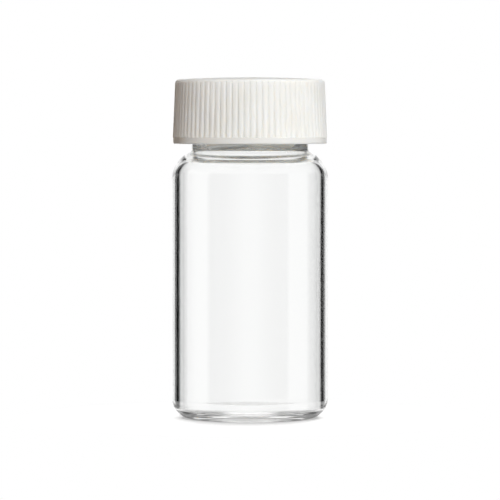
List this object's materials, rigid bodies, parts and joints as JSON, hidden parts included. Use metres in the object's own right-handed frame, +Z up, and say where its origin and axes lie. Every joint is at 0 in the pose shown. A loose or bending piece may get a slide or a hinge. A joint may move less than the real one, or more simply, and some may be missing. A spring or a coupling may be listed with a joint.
{
  "type": "glass sample vial",
  "caption": "Clear glass sample vial with a round shoulder, a short threaded neck and a ribbed white screw cap over a flat sealing liner.",
  "frame": {"origin": "centre of the base, on the surface that the vial stands on", "axes": "+Z up along the vial's axis, towards the cap; +X and +Y are any two level directions, because the vial is round"},
  "size_m": [0.028, 0.028, 0.0612],
  "materials": {
    "clear_glass": "polished",
    "white_plastic": "satin",
    "liner_foam": "matte"
  },
  "bodies": {
    "vial": {"vial": "clear_glass"},
    "liner": {"liner": "liner_foam"},
    "cap": {"screw_cap": "white_plastic"}
  },
  "joints": [
    {"name": "cap_rise", "type": "slide", "parent": "vial", "child": "liner", "axis": [0, 0, 1], "range_m": [0, 0.0048]},
    {"name": "cap_turn", "type": "hinge", "parent": "liner", "child": "cap", "pos_m": [0, 0, 0.055], "axis": [0, 0, 1], "range_deg": [0, 540]}
  ],
  "couplings": [
    {"joint": "cap_rise", "follows": "cap_turn", "m_per_rad": 0.00050532}
  ]
}
